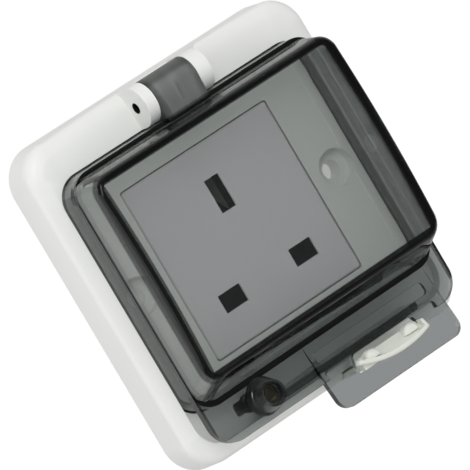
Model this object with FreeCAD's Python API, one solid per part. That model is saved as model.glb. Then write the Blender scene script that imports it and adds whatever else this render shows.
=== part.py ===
import FreeCAD, Part
import math
import os

# Outdoor weatherproof socket: a moulded wall plate with a 13 A socket insert
# under a hinged, smoked lid. Sizes are in millimetres.
#
# Every piece is drawn with the plate lying on its back: x to the right, y up
# the wall and z out of the wall, from the wall plane. save() stands it up.

# Allowances used throughout
over = 1.0                   # a cut runs past the face it opens by this much
embed = 0.5                  # joined pieces run into each other by this much

# Leading sizes
insert_side = 45.0           # the square socket insert
plate_border = 20.5          # from the insert's sides to the plate's outline
flange_height = 16.6         # front of the lid's flange, out of the wall

# Wall plate
plate_corner = 9.0           # corner radius of the plate's outline at the wall
plate_edge_height = 8.9      # the front face at the plate's outer edge
plate_crown_height = 10.2    # the front face beside the lid, where it is highest
plate_draft = 0.4            # how far the sides lean in over their height
plate_edge_chamfer = 1.1     # between the sides and the front face
plate_front_lean = 4.2       # the front face slopes over this much inside the outline
plate_side_wall = 3.0
face_height = 7.4            # the sheltered face under the lid
face_wall = 3.2
rib_wall = 1.4
collar_corner = 2.0          # of the collar round the insert
upper_ribs = (-20.0, 20.0)   # places of the upright ribs above the insert
lower_ribs = (-30.5, -12.0, 26.0)
level_ribs = (-20.0, 0.0, 20.0)

# Fixing holes
fixing_pitch = 60.3
fixing_hole_radius = 2.35
fixing_seat_radius = 4.7     # counterbore that takes the screw head
fixing_seat_height = 4.6
fixing_boss_radius = 6.6

# Rings of rubber
lid_seal_height = 1.6
lid_seal_play = 0.15         # room beside the seal in its groove
wall_seal_width = 1.4
wall_seal_height = 1.2
wall_seal_inset = 0.8        # the groove's distance from the plate's outline
wall_seal_play = 0.05
water_bead_width = 2.6       # low raised bead inside the lid's skirt
water_bead_height = 0.4
water_bead_chamfer = 0.25

# Lid; each step goes from one outline in to the next
lid_side_step = 5.0          # from the plate's sides to the flange's
lid_top_step = 10.8
lid_bottom_step = 3.1
lid_corner = 6.3
flange_wall = 2.0
skirt_wall = 1.5
skirt_foot_height = 7.7      # end of the skirt, just over its seal
skirt_rise = 9.7             # the skirt's lower wall, above the flange's lower edge
skirt_clearance = 0.35       # all round, to the plate's recess
recess_rise = 0.95           # the recess's lower side, above the flange's lower edge
bar_left = -16.0             # stiffening bar behind the flange, from the lock to the catch
bar_right = 26.0
bar_wall = 1.8               # upwards from the upper side of the tab's slot
bar_foot_height = 8.1

# Raised window of the lid
window_side_step = 0.2       # from the flange's outline to the window's foot
window_top_step = 1.1
window_bottom_step = 11.7
window_corner = 4.4          # corner radius of the window's walls
window_side_lean = 0.9       # how far a wall leans in, from its foot to its rim
window_top_lean = 1.0
window_bottom_lean = 4.0
window_height = 9.5          # of the rim's upper and lower ends, over the flange
window_crown = 1.7           # the front bulges by this much half-way up
window_wall = 2.2
window_rim_chamfer = 0.8

# Hinge
hinge_step = 5.3             # from the plate's upper side to the hinge line
hinge_drop = 3.45            # from the flange's front back to the hinge line
knuckle_radius = 5.15
knuckle_gap = 0.15           # end play on each side of the barrel
left_knuckle_end = -10.4
barrel_left = -7.3
barrel_right = 5.7
right_knuckle_end = 9.6
shoulder_foot = 14.2         # where the right knuckle's low fairing meets the face
hinge_relief = 0.7           # room round the barrel in the plate's face
pin_radius = 1.35
pin_running_clearance = 0.06
pin_recess = 1.7
pin_blind_wall = 0.8
pin_end_play = 0.2
pin_chamfer = 0.3
web_front_rise = 1.3         # the web's front at the window, over the flange's
web_back_drop = 2.25         # the web's back, behind the hinge line
web_crest_down = 2.0         # the web's crest, below the hinge line
web_crest_drop = 0.1         # and under the front of the barrel

# Lock
lock_side_step = 21.2        # from the plate's left side to the lock
lock_bottom_step = 8.8       # and from its lower side
boss_rise = 5.4              # over the flange
boss_foot_radius = 5.3       # at the flange's back face
boss_top_radius = 3.2
lock_bore_radius = 2.65
lock_head_radius = 2.55
lock_head_recess = 2.2
lock_shoulder_rise = 1.0     # the boss's inner shoulder under the head, over the flange
lock_shaft_radius = 1.8
lock_shaft_clearance = 0.05
lock_tail_radius = 1.5
triangle_radius = 2.25       # from the key triangle's centre to its corners
triangle_height = 1.6
triangle_edge_round = 0.3
triangle_end_chamfer = 0.2
cross_pin_radius = 0.8
cross_pin_half_length = 3.7
cross_pin_height = 2.9
cross_pin_chamfer = 0.2
lock_tail_end = 1.6
key_slot_clearance = 0.45
lid_swing_room = 0.8         # the tail swings this much downwards as the lid opens
lock_clip_height = 0.8
lock_clip_radius = 2.75
lock_clip_play = 0.03
lock_clip_mouth = 1.2        # half the width of the clip's open side
lock_shaft_end = 1.0         # the shaft runs on past the clip by this much
lock_ring_drop = 0.6         # middle of the sealing ring, behind the flange's front
lock_ring_half = 0.6         # half the thickness of the ring
lock_pocket_half = 6.2       # the closed pocket behind the key slot
lock_pocket_wall = 1.2
lock_pocket_floor = 1.0

# Pull tab and its slot
tab_left = -6.8
tab_right = 31.7
tab_start_step = 0.6         # from the window's foot to where the ramp starts
tab_reach = 7.8              # the free edge, below the flange's lower edge
tab_rise = 3.0               # of the ramp at the free edge, over the flange
tab_wall = 1.9
tab_corner = 3.0
slot_rise = 2.2              # the slot's upper side, above the flange's lower edge
slot_depth = 4.8
slot_middle = 12.5
slot_top_half_width = 9.4
slot_bottom_half_width = 11.1
slot_corner = 1.2

# Catch
catch_middle = 12.2
catch_leaf_half_width = 9.2
catch_leaf_wall = 1.4
catch_leaf_step = 0.2        # from the plate's lower side to the leaf's outer side
catch_leaf_lean = 0.6        # the leaf leans in by this much at its head
catch_foot_length = 8.2      # of the foot behind the plate
catch_foot_wall = 1.6
catch_foot_height = 1.5
catch_clearance = 0.5
catch_head_rise = 3.0        # the head's back, over the flange
catch_head_wall = 2.3
catch_head_half_width = 10.9
catch_head_step = 1.5        # from the slot's upper side to the head's
catch_head_shoulder = 0.8    # the straight upper side stops this far short of the ends
catch_head_left = 0.9        # start of the bowed side, below the upper side
catch_head_right = 2.6       # and its end, a little lower
catch_head_bow = 3.8         # depth of the head at its middle
catch_head_corner = 0.5
catch_head_chamfer = 0.4
catch_rim_wall = 1.2
catch_floor_drop = 3.1       # the floor inside the rim falls by this much towards the slot
catch_rib_radius = 2.2
catch_rib_spacing = 12.2
catch_rib_rise = 0.75        # the ribs' ends, over the head's upper side
catch_rib_drop = 0.3         # the ribs' fronts, behind the rim's
catch_rib_chamfer = 0.6
stake_radius = 1.1
stake_head_radius = 1.9
stake_head_height = 0.5
stake_clearance = 0.3
stake_spacing = 11.0
stake_inset = 2.0            # from the foot's end to the stakes

# Socket insert
insert_corner = 0.8
insert_gap = 0.3
insert_face_wall = 2.6
insert_edge_chamfer = 0.3
insert_skirt_inset = 0.7
insert_skirt_wall = 1.6
insert_skirt_end = -4.0
ledge_clearance = 0.2        # between the insert's skirt and the plate's ledge
ledge_wall = 2.8
collar_wall = 1.9
barb_reach = 0.9
barb_half_width = 5.0
barb_length = 4.2
barb_point = 1.0             # height of the barb's flat end
barb_play = 0.1
barb_side_play = 1.0

# Pin slots; the steps give the standard pattern, 22.2 mm each way
power_pin_side_step = 11.4   # from the insert's sides to the power pins
power_pin_bottom_step = 10.26
earth_pin_step = 12.54       # from the insert's upper side to the earth pin
power_slot_width = 6.7
power_slot_height = 4.6
earth_slot_width = 4.3
earth_slot_height = 8.7
slot_collar_wall = 1.2
slot_collar_depth = 1.2

# Insert housing
base_inset = 2.5             # from the insert's sides to the housing's
base_corner = 2.0
base_front = 2.0
base_back = -21.6
base_screw_inset = 3.8
base_screw_y = 4.0
base_screw_radius = 1.3
base_screw_head_radius = 2.4
base_screw_head_height = 1.8
base_screw_seat = -6.0
base_screw_play = 0.2
base_screw_head_play = 0.4
base_screw_end_wall = 0.6    # left between the screw's end and the face
screw_fit = 0.03             # a screw's shank is drawn thinner than its hole by this much
cross_half_length = 1.6      # cross recess in the screw's head
cross_half_width = 0.35
base_post_radius = 2.8

# Shutter and its spring
shutter_wall = 1.4
shutter_play = 0.1
shutter_overlap = 0.35
shutter_travel = 5.2
shutter_arm_half_width = 2.6
shutter_arm_step = 3.5       # the arm's end, below the earth pin
shutter_lug_step = 8.0       # the spring's lug, below the earth pin
shutter_lug_wall = 1.2
ramp_half_width = 1.9
ramp_foot_step = 5.0         # the ramp's high side, below the earth pin
ramp_length = 6.0
ramp_crest = 0.6             # the flat at the top of the ramp
ramp_depth = 3.0
shutter_well_play = 0.4
spring_radius = 1.1
spring_wire = 0.22
spring_turns = 6
spring_facets = 10           # flat facets in each turn
spring_wire_sides = 6
spring_seat_step = 3.4       # above the power pins
spring_height = 0.3
spring_well_play = 0.3

# Contacts and terminals
strip = 0.7                  # thickness of the contact strip
power_pin_width = 6.35
contact_width = 5.4
contact_mouth = 5.6          # outside width of a contact at its mouth
contact_pinch = 3.6          # free gap where the leaves grip
contact_pinch_share = 0.7    # the grip's place on the way up to the mouth
contact_heel = 2.5           # the leaves stand upright as far as this
power_well_bottom = -11.6
earth_well_bottom = -15.6
power_contact_top = 0.6
earth_contact_top = -4.2
well_play = 0.4
terminal_half_width = 3.5
terminal_half_depth = 3.3
power_terminal_height = 6.8
earth_terminal_height = 7.0
earth_terminal_inset = 3.6
wire_bore_radius = 2.1
wire_bore_offset = 2.5       # from the bore's axis to the terminal's inner end
wire_window_play = 0.5
tongue_hole_play = 0.2
terminal_screw_radius = 1.5
terminal_screw_head_radius = 2.3
terminal_screw_head_height = 1.7
terminal_screw_slot = 0.7
driver_well_radius = 3.0

# Sizes that follow from those above
plate_side = insert_side + 2 * plate_border
plate_half = plate_side / 2
lid_half_width = plate_half - lid_side_step
lid_top = plate_half - lid_top_step
lid_bottom = plate_half - lid_bottom_step
skirt_bottom = lid_bottom - skirt_rise
recess_bottom = lid_bottom - recess_rise
window_foot_half_width = lid_half_width - window_side_step
window_foot_top = lid_top - window_top_step
window_foot_bottom = lid_bottom - window_bottom_step
window_rim_half_width = window_foot_half_width - window_side_lean
window_rim_top = window_foot_top - window_top_lean
window_rim_bottom = window_foot_bottom - window_bottom_lean
window_rim_height = flange_height + window_height
hinge_up = plate_half - hinge_step
hinge_height = flange_height - hinge_drop
lock_x = lock_side_step - plate_half
lock_y = lock_bottom_step - plate_half
boss_height = flange_height + boss_rise
lock_shoulder_height = flange_height + lock_shoulder_rise
lock_ring_height = flange_height - lock_ring_drop
tab_start = window_foot_bottom + tab_start_step
tab_end = lid_bottom + tab_reach
tab_end_height = flange_height + tab_rise
slot_top = lid_bottom - slot_rise
slot_bottom = slot_top + slot_depth
catch_leaf_outside = plate_half - catch_leaf_step
catch_foot_reach = catch_leaf_outside - catch_foot_length
catch_head_top = slot_top + catch_head_step
catch_head_back = flange_height + catch_head_rise
catch_head_front = catch_head_back + catch_head_wall
stake_y = -catch_foot_reach - stake_inset
pocket_floor = face_height - lid_seal_height
seat = face_height - insert_face_wall
insert_half = insert_side / 2
power_pin_offset = insert_half - power_pin_side_step
power_pin_y = power_pin_bottom_step - insert_half
earth_pin_y = insert_half - earth_pin_step
shutter_arm_end = earth_pin_y - shutter_arm_step
shutter_lug_y = earth_pin_y - shutter_lug_step
ramp_foot_y = earth_pin_y - ramp_foot_step
ramp_end_y = ramp_foot_y + ramp_length
spring_seat_y = power_pin_y + spring_seat_step
insert_skirt_half = insert_half - insert_skirt_inset
ledge_half = insert_skirt_half + ledge_clearance
opening_half = insert_half + insert_gap
base_half = insert_half - base_inset
base_screw_x = base_half - base_screw_inset
earth_terminal_y = base_half - earth_terminal_inset


def vec(x, y, z):
    return FreeCAD.Vector(x, y, z)


def rounded_wire(left, right, bottom, top, z, radius):
    """A closed rectangle with round corners, level at height z."""
    half = math.sqrt(0.5)
    corners = [(right - radius, top - radius, 1, 1),
               (left + radius, top - radius, -1, 1),
               (left + radius, bottom + radius, -1, -1),
               (right - radius, bottom + radius, 1, -1)]
    edges = []
    points = []
    for x, y, sx, sy in corners:
        first, last = vec(x + sx * radius, y, z), vec(x, y + sy * radius, z)
        if sx * sy < 0:
            first, last = last, first
        middle = vec(x + sx * half * radius, y + sy * half * radius, z)
        points.append((first, middle, last))
    for here, after in zip(points, points[1:] + points[:1]):
        edges.append(Part.Arc(*here).toShape())
        edges.append(Part.LineSegment(here[2], after[0]).toShape())
    return Part.Wire(edges)


def slab(left, right, bottom, top, low, high, radius):
    """A straight block with round upright corners."""
    wire = rounded_wire(left, right, bottom, top, low, radius)
    return Part.Face(wire).extrude(vec(0, 0, high - low))


def block(left, right, bottom, top, low, high):
    corner = vec(left, bottom, low)
    return Part.makeBox(right - left, top - bottom, high - low, corner)


def post(x, y, low, high, radius):
    return Part.makeCylinder(radius, high - low, vec(x, y, low))


def rod(left, right, y, z, radius):
    """A round bar along the x axis."""
    return Part.makeCylinder(radius, right - left, vec(left, y, z), vec(1, 0, 0))


def polygon_face(corners):
    return Part.Face(Part.makePolygon(corners + corners[:1]))


def side_profile(points, left, right):
    """A shape drawn on the y-z plane and carried across from left to right."""
    outline = [vec(left, y, z) for y, z in points]
    return polygon_face(outline).extrude(vec(right - left, 0, 0))


def edges_at_height(shape, z, tolerance=0.02):
    """The edges of a shape that lie wholly at one height."""
    level = []
    for edge in shape.Edges:
        box = edge.BoundBox
        if abs(box.ZMin - z) < tolerance and abs(box.ZMax - z) < tolerance:
            level.append(edge)
    return level


def upright_edges(shape):
    """The edges of a straight-sided shape that run from its back to its front."""
    return [edge for edge in shape.Edges if edge.BoundBox.ZLength > shape.BoundBox.ZLength / 2]


def end_edges(bar):
    """The round edges at the two ends of a bar along the x axis."""
    return [edge for edge in bar.Edges if edge.BoundBox.XLength < bar.BoundBox.XLength / 2]


def join(first, *others):
    return first.fuse(list(others)).removeSplitter()


def single(shape):
    """The one solid that a cut or a union leaves."""
    solids = shape.Solids
    assert len(solids) == 1, "expected one solid, found %d" % len(solids)
    return solids[0]


def skirt_slab(inset, low, high):
    """A block with the outline of the lid's skirt, drawn in by inset."""
    half = lid_half_width - inset
    return slab(-half, half, -skirt_bottom + inset, lid_top - inset, low, high,
                lid_corner - inset)


def at_both_fixings(shape_at):
    half = fixing_pitch / 2
    return [shape_at(-half), shape_at(half)]


def drafted(half, corner, low, high, lean):
    """A square block with round corners, whose sides all lean in by the same amount."""
    core, top = half - corner, half - lean
    across = side_profile([(-half, low), (half, low), (top, high), (-top, high)], -core, core)
    upright = across.copy()
    upright.rotate(vec(0, 0, 0), vec(0, 0, 1), 90)
    corners = [Part.makeCone(corner, corner - lean, high - low, vec(x, y, low))
               for x in (-core, core) for y in (-core, core)]
    return join(across, upright, *corners)


def plate_body():
    """Outside of the wall plate: drafted sides under a front face that rises to the lid."""
    sides = drafted(plate_half, plate_corner, 0, plate_edge_height, plate_draft)
    front = drafted(plate_half - plate_draft, plate_corner - plate_draft,
                    plate_edge_height, plate_crown_height, plate_front_lean)
    body = join(sides, front)
    return body.makeChamfer(plate_edge_chamfer, edges_at_height(body, plate_edge_height))


def plate_pocket():
    """The recess in the front under the lid, with the groove for the skirt's seal."""
    play = lid_seal_play
    half = lid_half_width + skirt_clearance
    recess = slab(-half, half, -recess_bottom, lid_top + skirt_clearance, face_height,
                  plate_crown_height + over, lid_corner + skirt_clearance)
    groove = skirt_slab(-skirt_clearance, pocket_floor, face_height)
    island = skirt_slab(skirt_wall + play, pocket_floor - over, face_height + over)
    return join(recess, groove.cut(island))


def water_bead():
    """A low bead round the sheltered face, inside the skirt."""
    outside = skirt_wall + lid_seal_play
    high = face_height + water_bead_height
    ring = skirt_slab(outside, pocket_floor, high)
    inner = skirt_slab(outside + water_bead_width, pocket_floor - over, high + over)
    bead = ring.cut(inner)
    return bead.makeChamfer(water_bead_chamfer, edges_at_height(bead, high))


def plate_hollow():
    """The open back of the plate, less the collar, bosses and ribs that stand in it."""
    half = plate_half - plate_side_wall
    corner = plate_corner - plate_side_wall
    top = face_height - face_wall
    collar = ledge_half + collar_wall
    hollow = slab(-half, half, -half, half, 0, top, corner)
    kept = [slab(-collar, collar, -collar, collar, 0, top, collar_corner)]
    kept.append(lock_pocket(lock_pocket_half, 0))
    kept += at_both_fixings(lambda x: post(x, 0, 0, top, fixing_boss_radius))
    rib = rib_wall / 2
    for x in upper_ribs:
        kept.append(block(x - rib, x + rib, collar, half, 0, top))
    for x in lower_ribs:
        kept.append(block(x - rib, x + rib, -half, -collar, 0, top))
    for y in level_ribs:
        kept.append(block(-half, -collar, y - rib, y + rib, 0, top))
        kept.append(block(collar, half, y - rib, y + rib, 0, top))
    return hollow.cut(kept)


def lock_pocket(half, low):
    """A block behind the key slot, or the space in it where the cross pin turns."""
    return slab(lock_x - half, lock_x + half, lock_y - half, lock_y + half, low,
                face_height - face_wall, collar_corner)


def insert_opening():
    """The square opening for the insert, with the ledge that carries it."""
    front = slab(-opening_half, opening_half, -opening_half, opening_half,
                 seat, plate_crown_height + over, insert_corner)
    back = slab(-ledge_half, ledge_half, -ledge_half, ledge_half, -over, seat,
                insert_corner)
    recess_half = ledge_half + barb_reach
    recess_side = barb_half_width + barb_side_play
    behind = slab(-recess_half, recess_half, -recess_side, recess_side,
                  -over, seat - ledge_wall, insert_corner)
    return front.fuse([back, behind])


def fixing_hole(x):
    hole = post(x, 0, -over, face_height + over, fixing_hole_radius)
    counterbore = post(x, 0, fixing_seat_height, face_height + over, fixing_seat_radius)
    return hole.fuse(counterbore)


def knuckle(left, right):
    """A hinge knuckle on the plate: a round head on an upright neck."""
    head = rod(left, right, hinge_up, hinge_height, knuckle_radius)
    neck = block(left, right, hinge_up - knuckle_radius, hinge_up + knuckle_radius,
                 plate_edge_height - 2 * plate_edge_chamfer, hinge_height)
    return head.fuse(neck)


def knuckle_shoulder():
    """The low fairing that runs from the right knuckle down to the plate's face."""
    bottom = hinge_up - knuckle_radius
    start, low = right_knuckle_end - over, plate_edge_height - over
    outline = [vec(start, bottom, low), vec(shoulder_foot, bottom, low),
               vec(start, bottom, hinge_height)]
    return polygon_face(outline).extrude(vec(0, 2 * knuckle_radius, 0))


def key_slot():
    """The slot in the plate's face for the lock's cross pin, with the pocket behind it."""
    half = cross_pin_half_length + key_slot_clearance
    upper = cross_pin_radius + key_slot_clearance
    lower = upper + lid_swing_room
    slot = slab(lock_x - half, lock_x + half, lock_y - lower, lock_y + upper,
                face_height - face_wall - over, face_height + over, cross_pin_radius)
    hole = post(lock_x, lock_y - lid_swing_room / 2,
                face_height - face_wall - over, face_height + over,
                lock_tail_radius + key_slot_clearance + lid_swing_room / 2)
    pocket = lock_pocket(lock_pocket_half - lock_pocket_wall, lock_pocket_floor)
    return slot.fuse([hole, pocket])


def catch_notch():
    """The notch in the plate's lower side where the catch's leaf stands."""
    half = catch_leaf_half_width + catch_clearance
    inner = catch_leaf_outside - catch_leaf_wall - catch_clearance
    left, right = catch_middle - half, catch_middle + half
    through = block(left, right, -plate_side, -inner, -over, plate_crown_height + over)
    under = block(left, right, -plate_side, -catch_foot_reach + catch_clearance, -over,
                  catch_foot_height + catch_foot_wall + catch_clearance)
    return through.fuse(under)


def stake(x):
    """A peg on the plate's back; its end is melted over the catch's foot."""
    top = face_height - face_wall
    head = catch_foot_height - stake_clearance
    low = head - stake_head_height
    return join(post(x, stake_y, low, top + embed, stake_radius),
                post(x, stake_y, low, head, stake_head_radius))


def stakes():
    half = stake_spacing / 2
    return [stake(catch_middle - half), stake(catch_middle + half)]


def wall_seal_ring(play):
    """The rubber ring in the plate's back rim; play is the room on each of its sides."""
    outer = plate_half - wall_seal_inset - play
    inner = plate_half - wall_seal_inset - wall_seal_width + play
    ring = slab(-outer, outer, -outer, outer, 0, wall_seal_height,
                plate_corner - wall_seal_inset - play)
    core = slab(-inner, inner, -inner, inner, -over, wall_seal_height + over,
                plate_corner - wall_seal_inset - wall_seal_width + play)
    gap = catch_leaf_half_width + catch_clearance + rib_wall
    opening = block(catch_middle - gap, catch_middle + gap, -plate_side, 0, -over,
                    wall_seal_height + over)
    return ring.cut(core).cut(opening)


def front_frame():
    body = plate_body()
    body = body.cut([plate_pocket(), plate_hollow()])
    body = body.fuse([water_bead(), knuckle(left_knuckle_end, barrel_left),
                      knuckle(barrel_right, right_knuckle_end), knuckle_shoulder()])
    relief = rod(barrel_left, barrel_right, hinge_up, hinge_height,
                 knuckle_radius + hinge_relief)
    pin_hole = rod(left_knuckle_end - over, right_knuckle_end - pin_blind_wall,
                   hinge_up, hinge_height, pin_radius)
    body = body.cut([relief, pin_hole, insert_opening(), key_slot(), catch_notch(),
                     wall_seal_ring(0)] + at_both_fixings(fixing_hole))
    body = body.fuse(stakes())
    return single(body.removeSplitter())


def lid_seal():
    play = lid_seal_play
    outer = skirt_slab(play - skirt_clearance, pocket_floor, face_height)
    inner = skirt_slab(skirt_wall, pocket_floor - over, face_height + over)
    return single(outer.cut(inner))


def wall_seal():
    return single(wall_seal_ring(wall_seal_play))


def crown_bar(depth):
    """A wide drum whose front gives the window its bulge; depth sets it back."""
    chord = (window_rim_top + window_rim_bottom) / 2
    middle = (window_rim_top - window_rim_bottom) / 2
    radius = (chord ** 2 + window_crown ** 2) / (2 * window_crown)
    centre = window_rim_height + window_crown - radius
    return rod(-plate_side, plate_side, middle, centre, radius - depth)


def frustum(foot, foot_height, rim, rim_height):
    """A block with flat sloping sides between two level rectangles.

    Each rectangle is its left, right, bottom and top."""
    def corners(rectangle, z):
        left, right, bottom, top = rectangle
        return [vec(left, bottom, z), vec(right, bottom, z), vec(right, top, z), vec(left, top, z)]

    low, high = corners(foot, foot_height), corners(rim, rim_height)
    outlines = [low[::-1], high]
    for here in range(4):
        after = (here + 1) % 4
        outlines.append([low[here], low[after], high[after], high[here]])
    return Part.makeSolid(Part.makeShell([polygon_face(outline) for outline in outlines]))


def window_rectangle(z, inset):
    """The window's outline at height z, as left, right, bottom and top, drawn in by inset."""
    share = (z - flange_height) / (window_rim_height - flange_height)

    def drawn(foot, rim):
        return foot + (rim - foot) * share - inset

    half = drawn(window_foot_half_width, window_rim_half_width)
    return (-half, half, -drawn(window_foot_bottom, window_rim_bottom),
            drawn(window_foot_top, window_rim_top))


def window_block(inset, depth):
    """The window's outside (inset 0), or its inside (inset and set back by the wall)."""
    low = flange_height - flange_wall - (over if inset else 0)
    high = window_rim_height + 2 * window_crown
    body = frustum(window_rectangle(low, inset), low, window_rectangle(high, inset), high)
    body = body.common(crown_bar(depth))
    upright = [edge for edge in body.Edges if edge.BoundBox.ZLength > flange_wall * 2
               and edge.BoundBox.YLength < window_rim_bottom]
    return body.makeFillet(window_corner - inset, upright)


def tab_slope(y):
    """Height of the tab's front at a place y on its ramp."""
    share = (-tab_start - y) / (tab_end - tab_start)
    return flange_height + share * (tab_end_height - flange_height)


def tab_solid():
    """The pull tab: a ramp that swells out of the flange and runs on as a free plate."""
    start, edge = -tab_start, -lid_bottom
    wedge = side_profile([(start, flange_height - flange_wall), (start, flange_height),
                          (-tab_end, tab_end_height), (-tab_end, tab_end_height - tab_wall),
                          (edge, tab_slope(edge) - tab_wall),
                          (edge, flange_height - flange_wall)],
                         tab_left, tab_right)
    outline = slab(tab_left, tab_right, -tab_end, start + 2 * tab_corner,
                   0, tab_end_height + over, tab_corner)
    return wedge.common(outline)


def tab_hollow(top, bottom):
    """The space behind the tab's front wall, between two places up the lid."""
    space = side_profile([(top, 0), (top, tab_slope(top) - tab_wall),
                          (bottom, tab_slope(bottom) - tab_wall), (bottom, 0)],
                         tab_left, tab_right)
    outline = slab(tab_left + tab_wall, tab_right - tab_wall, bottom, top,
                   0, tab_end_height, min(tab_corner - tab_wall, (top - bottom) / 3))
    return space.common(outline)


def tab_slot():
    """The slot that the catch stands through, a little wider at its lower side."""
    low, high = flange_height - flange_wall, tab_end_height + over
    outline = [vec(slot_middle - slot_top_half_width, -slot_top, low),
               vec(slot_middle + slot_top_half_width, -slot_top, low),
               vec(slot_middle + slot_bottom_half_width, -slot_bottom, low),
               vec(slot_middle - slot_bottom_half_width, -slot_bottom, low)]
    slot = polygon_face(outline).extrude(vec(0, 0, high - low))
    return slot.makeFillet(slot_corner, upright_edges(slot))


def lock_boss():
    length = boss_rise + flange_wall
    return Part.makeCone(boss_foot_radius, boss_top_radius, length,
                         vec(lock_x, lock_y, flange_height - flange_wall))


def lock_bore():
    """The bore for the lock's head, over the smaller hole for its shaft and sealing ring."""
    head = post(lock_x, lock_y, lock_shoulder_height, boss_height + over, lock_bore_radius)
    shaft_hole = lock_shaft_radius + lock_shaft_clearance
    shaft = post(lock_x, lock_y, 0, boss_height, shaft_hole)
    half = lock_ring_half + lock_shaft_clearance
    ring = post(lock_x, lock_y, lock_ring_height - half, lock_ring_height + half,
                shaft_hole + 2 * half)
    return head.fuse([shaft, ring])


def hinge_barrel():
    """The lid's barrel and the web that carries it."""
    left, right = barrel_left + knuckle_gap, barrel_right - knuckle_gap
    barrel = rod(left, right, hinge_up, hinge_height, knuckle_radius)
    back = hinge_height - web_back_drop
    web = side_profile([(lid_top - flange_wall / 2, back),
                        (hinge_up, back),
                        (hinge_up, hinge_height + knuckle_radius),
                        (hinge_up - web_crest_down,
                         hinge_height + knuckle_radius - web_crest_drop),
                        (window_foot_top - window_wall / 2,
                         flange_height + web_front_rise)],
                       left, right)
    bore = rod(left - over, right + over, hinge_up, hinge_height,
               pin_radius + pin_running_clearance)
    return barrel.fuse(web).cut(bore)


def lid():
    flange_back = flange_height - flange_wall
    flange = slab(-lid_half_width, lid_half_width, -lid_bottom, lid_top,
                  flange_back, flange_height, lid_corner)
    skirt = skirt_slab(0, skirt_foot_height, flange_back)
    skirt = skirt.cut(skirt_slab(skirt_wall, 0, flange_back + over))
    bar_inside = -slot_top + bar_wall
    bar = slab(bar_left, bar_right, -slot_top, bar_inside, bar_foot_height, flange_height,
               bar_wall / 3)
    shell = window_block(0, 0)
    shell = shell.makeChamfer(window_rim_chamfer, front_rim_edges(shell))
    shell = join(flange, shell, tab_solid())
    shell = shell.cut([window_block(window_wall, window_wall),
                       tab_hollow(-tab_start - 2 * tab_wall, bar_inside),
                       tab_hollow(-slot_top, -tab_end - over)])
    shell = shell.fuse([skirt, bar, hinge_barrel(), lock_boss()])
    shell = shell.cut([tab_slot(), lock_bore()])
    return single(shell.removeSplitter())


def front_rim_edges(shell):
    """The edges round the front of the window."""
    limit = window_rim_height - over
    return [edge for edge in shell.Edges if edge.BoundBox.ZMin > limit]


def hinge_pin():
    left = left_knuckle_end + pin_recess
    right = right_knuckle_end - pin_blind_wall - pin_end_play
    pin = rod(left, right, hinge_up, hinge_height, pin_radius)
    return single(pin.makeChamfer(pin_chamfer, end_edges(pin)))


def key_triangle(low, high):
    """The three-sided end that a key turns, with one corner upwards."""
    corners = []
    for turn in (90, 210, 330):
        angle = math.radians(turn)
        corners.append(vec(lock_x + triangle_radius * math.cos(angle),
                           lock_y + triangle_radius * math.sin(angle), low))
    prism = polygon_face(corners).extrude(vec(0, 0, high - low))
    prism = prism.makeFillet(triangle_edge_round, upright_edges(prism))
    return prism.makeChamfer(triangle_end_chamfer, edges_at_height(prism, high))


def lock_core():
    top = boss_height - lock_head_recess
    clip_groove = flange_height - flange_wall - lock_clip_height
    head = post(lock_x, lock_y, lock_shoulder_height, top - triangle_height,
                lock_head_radius)
    shaft = post(lock_x, lock_y, clip_groove - lock_shaft_end, lock_shoulder_height,
                 lock_shaft_radius)
    tail = post(lock_x, lock_y, lock_tail_end, clip_groove, lock_tail_radius)
    core = join(head, shaft, tail, key_triangle(top - triangle_height, top))
    groove = post(lock_x, lock_y, clip_groove, clip_groove + lock_clip_height,
                  lock_shaft_radius + over)
    neck = post(lock_x, lock_y, clip_groove, clip_groove + lock_clip_height,
                lock_tail_radius)
    cross_hole = rod(lock_x - cross_pin_half_length, lock_x + cross_pin_half_length,
                     lock_y, cross_pin_height, cross_pin_radius)
    return single(core.cut(groove).fuse(neck).cut(cross_hole).removeSplitter())


def lock_pin():
    pin = rod(lock_x - cross_pin_half_length, lock_x + cross_pin_half_length,
              lock_y, cross_pin_height, cross_pin_radius)
    return single(pin.makeChamfer(cross_pin_chamfer, end_edges(pin)))


def lock_clip():
    """An open spring clip in the core's groove, behind the lid's flange."""
    low = flange_height - flange_wall - lock_clip_height
    high = low + lock_clip_height
    disc = post(lock_x, lock_y, low, high, lock_clip_radius)
    hole = post(lock_x, lock_y, low - over, high + over, lock_tail_radius + lock_clip_play)
    mouth = block(lock_x - lock_clip_mouth, lock_x + lock_clip_mouth,
                  lock_y, lock_y + 2 * lock_clip_radius, low - over, high + over)
    return single(disc.cut([hole, mouth]))


def lock_seal():
    """A square ring of rubber between the lock's shaft and the boss."""
    low, high = lock_ring_height - lock_ring_half, lock_ring_height + lock_ring_half
    inner = lock_shaft_radius + lock_shaft_clearance
    outer = inner + 2 * lock_ring_half
    ring = post(lock_x, lock_y, low, high, outer)
    return single(ring.cut(post(lock_x, lock_y, low - over, high + over, inner)))


def head_face(raised, z):
    """The head's outline: straight above, bowed below and a little lower at its right end.

    The dish in the head is drawn with the same outline, raised at its upper side."""
    half, shoulder = catch_head_half_width, catch_head_shoulder
    left, right = catch_middle - half, catch_middle + half
    top = -catch_head_top
    upper_left = vec(left + shoulder, top + raised, z)
    upper_right = vec(right - shoulder, top + raised, z)
    left_side = vec(left, top - catch_head_left, z)
    right_side = vec(right, top - catch_head_right, z)
    bow = vec(catch_middle, top - catch_head_bow, z)
    edges = [Part.LineSegment(upper_left, upper_right).toShape(),
             Part.LineSegment(upper_right, right_side).toShape(),
             Part.Arc(right_side, bow, left_side).toShape(),
             Part.LineSegment(left_side, upper_left).toShape()]
    return Part.Face(Part.Wire(edges))


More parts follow.
